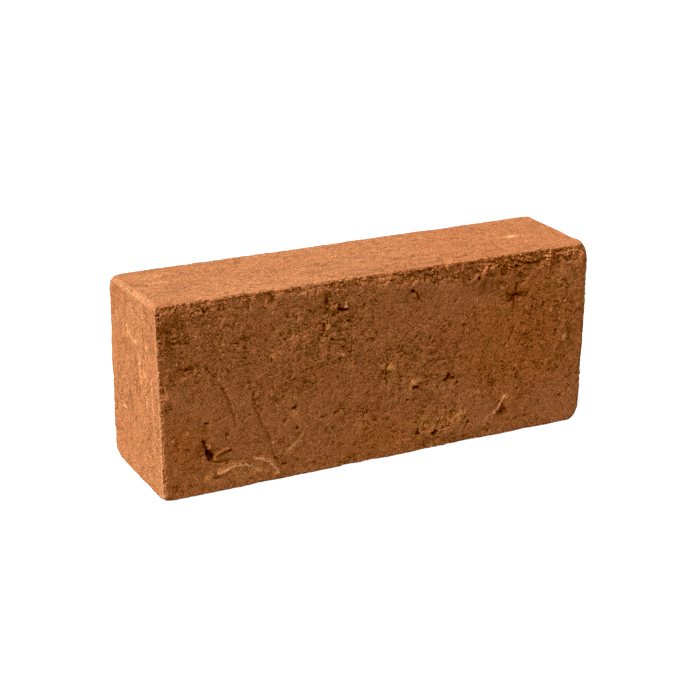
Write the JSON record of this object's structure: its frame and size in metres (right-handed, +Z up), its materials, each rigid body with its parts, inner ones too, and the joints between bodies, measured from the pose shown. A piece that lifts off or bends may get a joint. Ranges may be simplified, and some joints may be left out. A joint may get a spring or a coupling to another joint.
{
  "type": "clay brick",
  "caption": "Solid fired-clay building brick with plain faces and worn edges, laid in mortar as one unit of a wall or paving.",
  "frame": {"origin": "centre of the long narrow side that the brick stands on", "axes": "+X along the length, +Y through the thickness away from the front bed face, +Z up the width of the bed faces"},
  "size_m": [0.25, 0.065, 0.1],
  "materials": {
    "fired_clay": "rough unglazed fired clay, matt, orange-brown"
  },
  "bodies": {
    "root": {"brick": "fired_clay"}
  },
  "joints": []
}
